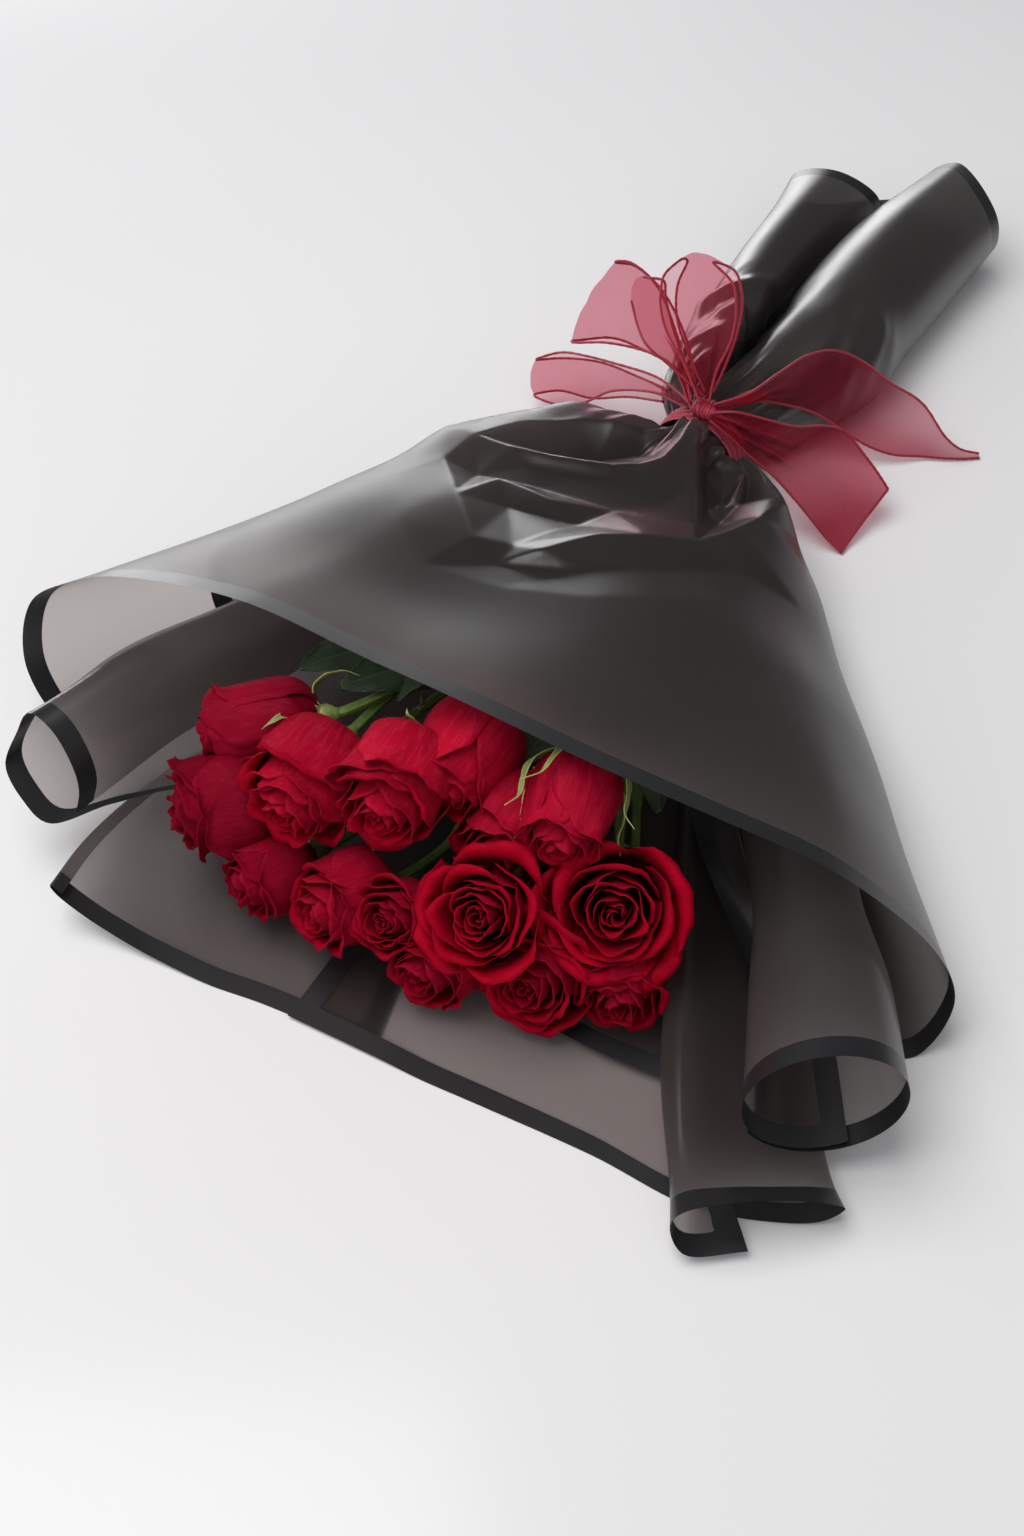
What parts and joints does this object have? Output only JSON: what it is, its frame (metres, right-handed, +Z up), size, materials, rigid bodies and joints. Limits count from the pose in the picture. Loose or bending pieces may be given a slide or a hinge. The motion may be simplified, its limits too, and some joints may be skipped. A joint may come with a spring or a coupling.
{
  "type": "wrapped bunch of red roses",
  "caption": "Long-stemmed red roses lying down in translucent grey film, gathered at the waist and tied with a sheer red ribbon bow.",
  "frame": {"origin": "the middle of the bunch's footprint, on the plane it lies on", "axes": "+Z up, away from the surface it lies on; +Y along the bunch from the rose heads towards the handle; +X across it, towards the larger tube of film"},
  "size_m": [0.4712, 0.7971, 0.1277],
  "materials": {
    "film": "satin translucent grey film with a dark grey border along its edges",
    "petal": "velvety",
    "stem": "satin",
    "leaf": "satin",
    "ribbon": "sheer organza weave",
    "tie": "satin"
  },
  "bodies": {
    "root": {"top_sheet": "film", "left_inner_sheet": "film", "right_inner_sheet": "film", "right_back_sheet": "film", "left_back_sheet": "film", "handle_sheet": "film", "rose_01": "petal", "stem_01": "stem", "rose_02": "petal", "stem_02": "stem", "rose_03": "petal", "stem_03": "stem", "rose_04": "petal", "stem_04": "stem", "rose_05": "petal", "stem_05": "stem", "rose_06": "petal", "stem_06": "stem", "rose_07": "petal", "stem_07": "stem", "rose_08": "petal", "stem_08": "stem", "rose_09": "petal", "stem_09": "stem", "rose_10": "petal", "stem_10": "stem", "rose_11": "petal", "stem_11": "stem", "rose_12": "petal", "stem_12": "stem", "rose_13": "petal", "stem_13": "stem", "rose_14": "petal", "stem_14": "stem", "rose_15": "petal", "stem_15": "stem", "leaf_1": "leaf", "leaf_2": "leaf", "leaf_3": "leaf", "leaf_4": "leaf", "leaf_5": "leaf", "stem_tie": "tie", "ribbon_band": "ribbon", "ribbon_knot": "ribbon", "bow_loop_upper": "ribbon", "bow_loop_left": "ribbon", "bow_loop_inner": "ribbon", "bow_loop_low": "ribbon", "bow_tail_upper": "ribbon", "bow_tail_lower": "ribbon"}
  },
  "joints": []
}
